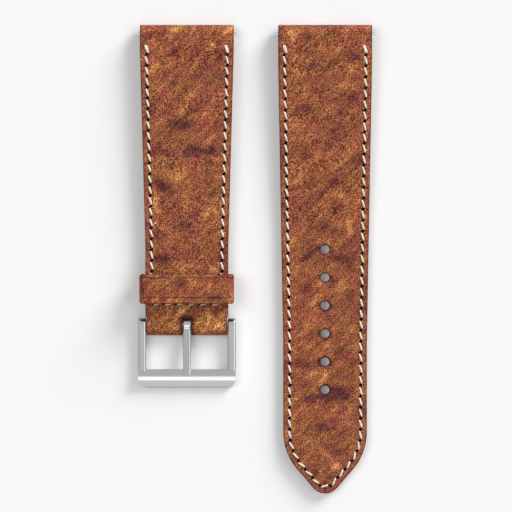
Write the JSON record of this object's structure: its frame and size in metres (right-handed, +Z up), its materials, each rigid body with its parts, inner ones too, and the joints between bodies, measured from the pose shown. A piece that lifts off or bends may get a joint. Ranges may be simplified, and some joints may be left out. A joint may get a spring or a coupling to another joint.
{
  "type": "leather watch strap",
  "caption": "Two-piece tapered leather watch strap with slanted stitching, fixed keeper, pin buckle and sprung lug bars, halves laid flat side by side.",
  "frame": {"origin": "on the surface that the halves lie on, under the middle of the whole part", "axes": "+Y towards the lug ends, +X from the short half to the long half, +Z up through the face leather"},
  "size_m": [0.0612, 0.12, 0.0074],
  "materials": {
    "face_leather": "mottled brown, lightly waxed",
    "lining_leather": "matt brown",
    "padding_felt": "pressed fibre",
    "woven_tape": "woven",
    "thread": "waxed linen",
    "bar_steel": "turned",
    "buckle_steel": "satin"
  },
  "bodies": {
    "buckle_half": {"face_leather_short": "face_leather", "lining_short": "lining_leather", "padding_short": "padding_felt", "lug_tape_short": "woven_tape", "keeper_band": "face_leather", "seam_thread_short": "thread"},
    "tail_half": {"face_leather_long": "face_leather", "lining_long": "lining_leather", "padding_long": "padding_felt", "lug_tape_long": "woven_tape", "seam_thread_long": "thread"},
    "buckle_frame": {"buckle_frame": "buckle_steel"},
    "tongue": {"buckle_tongue": "buckle_steel"},
    "buckle_bar": {"buckle_bar_tube": "bar_steel", "buckle_bar_spring": "bar_steel"},
    "buckle_bar_pin_left": {"buckle_bar_pin_left": "bar_steel"},
    "buckle_bar_pin_right": {"buckle_bar_pin_right": "bar_steel"},
    "lug_bar_short": {"lug_bar_tube_short": "bar_steel", "lug_bar_spring_short": "bar_steel"},
    "lug_bar_short_pin_left": {"lug_bar_pin_left_short": "bar_steel"},
    "lug_bar_short_pin_right": {"lug_bar_pin_right_short": "bar_steel"},
    "lug_bar_long": {"lug_bar_tube_long": "bar_steel", "lug_bar_spring_long": "bar_steel"},
    "lug_bar_long_pin_left": {"lug_bar_pin_left_long": "bar_steel"},
    "lug_bar_long_pin_right": {"lug_bar_pin_right_long": "bar_steel"}
  },
  "joints": [
    {"name": "tail_half_lift", "type": "slide", "parent": "buckle_half", "child": "tail_half", "axis": [0, 0, 1], "range_m": [0, 0.03]},
    {"name": "frame_swing", "type": "hinge", "parent": "buckle_half", "child": "buckle_frame", "pos_m": [-0.0177, -0.0167, 0.00175], "axis": [1, 0, 0], "range_deg": [-100, 90]},
    {"name": "tongue_swing", "type": "hinge", "parent": "buckle_frame", "child": "tongue", "pos_m": [-0.0177, -0.0167, 0.00175], "axis": [-1, 0, 0], "range_deg": [0, 100]},
    {"name": "buckle_bar_spin", "type": "hinge", "parent": "buckle_half", "child": "buckle_bar", "pos_m": [-0.0177, -0.0167, 0.00175], "axis": [1, 0, 0], "continuous": true},
    {"name": "buckle_bar_pin_left_press", "type": "slide", "parent": "buckle_bar", "child": "buckle_bar_pin_left", "axis": [1, 0, 0], "range_m": [0, 0.0011], "stiffness_N_per_m": 600, "springref_m": -0.0005, "deforming": ["buckle_bar_spring"]},
    {"name": "buckle_bar_pin_right_press", "type": "slide", "parent": "buckle_bar", "child": "buckle_bar_pin_right", "axis": [-1, 0, 0], "range_m": [0, 0.0011], "stiffness_N_per_m": 600, "springref_m": -0.0005, "deforming": ["buckle_bar_spring"]},
    {"name": "lug_bar_short_spin", "type": "hinge", "parent": "buckle_half", "child": "lug_bar_short", "pos_m": [-0.0177, 0.05772, 0.00228], "axis": [1, 0, 0], "continuous": true},
    {"name": "lug_bar_short_pin_left_press", "type": "slide", "parent": "lug_bar_short", "child": "lug_bar_short_pin_left", "axis": [1, 0, 0], "range_m": [0, 0.0009], "stiffness_N_per_m": 600, "springref_m": -0.0005, "deforming": ["lug_bar_spring_short"]},
    {"name": "lug_bar_short_pin_right_press", "type": "slide", "parent": "lug_bar_short", "child": "lug_bar_short_pin_right", "axis": [-1, 0, 0], "range_m": [0, 0.0009], "stiffness_N_per_m": 600, "springref_m": -0.0005, "deforming": ["lug_bar_spring_short"]},
    {"name": "lug_bar_long_spin", "type": "hinge", "parent": "tail_half", "child": "lug_bar_long", "pos_m": [0.0177, 0.05772, 0.00228], "axis": [1, 0, 0], "continuous": true},
    {"name": "lug_bar_long_pin_left_press", "type": "slide", "parent": "lug_bar_long", "child": "lug_bar_long_pin_left", "axis": [1, 0, 0], "range_m": [0, 0.0009], "stiffness_N_per_m": 600, "springref_m": -0.0005, "deforming": ["lug_bar_spring_long"]},
    {"name": "lug_bar_long_pin_right_press", "type": "slide", "parent": "lug_bar_long", "child": "lug_bar_long_pin_right", "axis": [-1, 0, 0], "range_m": [0, 0.0009], "stiffness_N_per_m": 600, "springref_m": -0.0005, "deforming": ["lug_bar_spring_long"]}
  ]
}
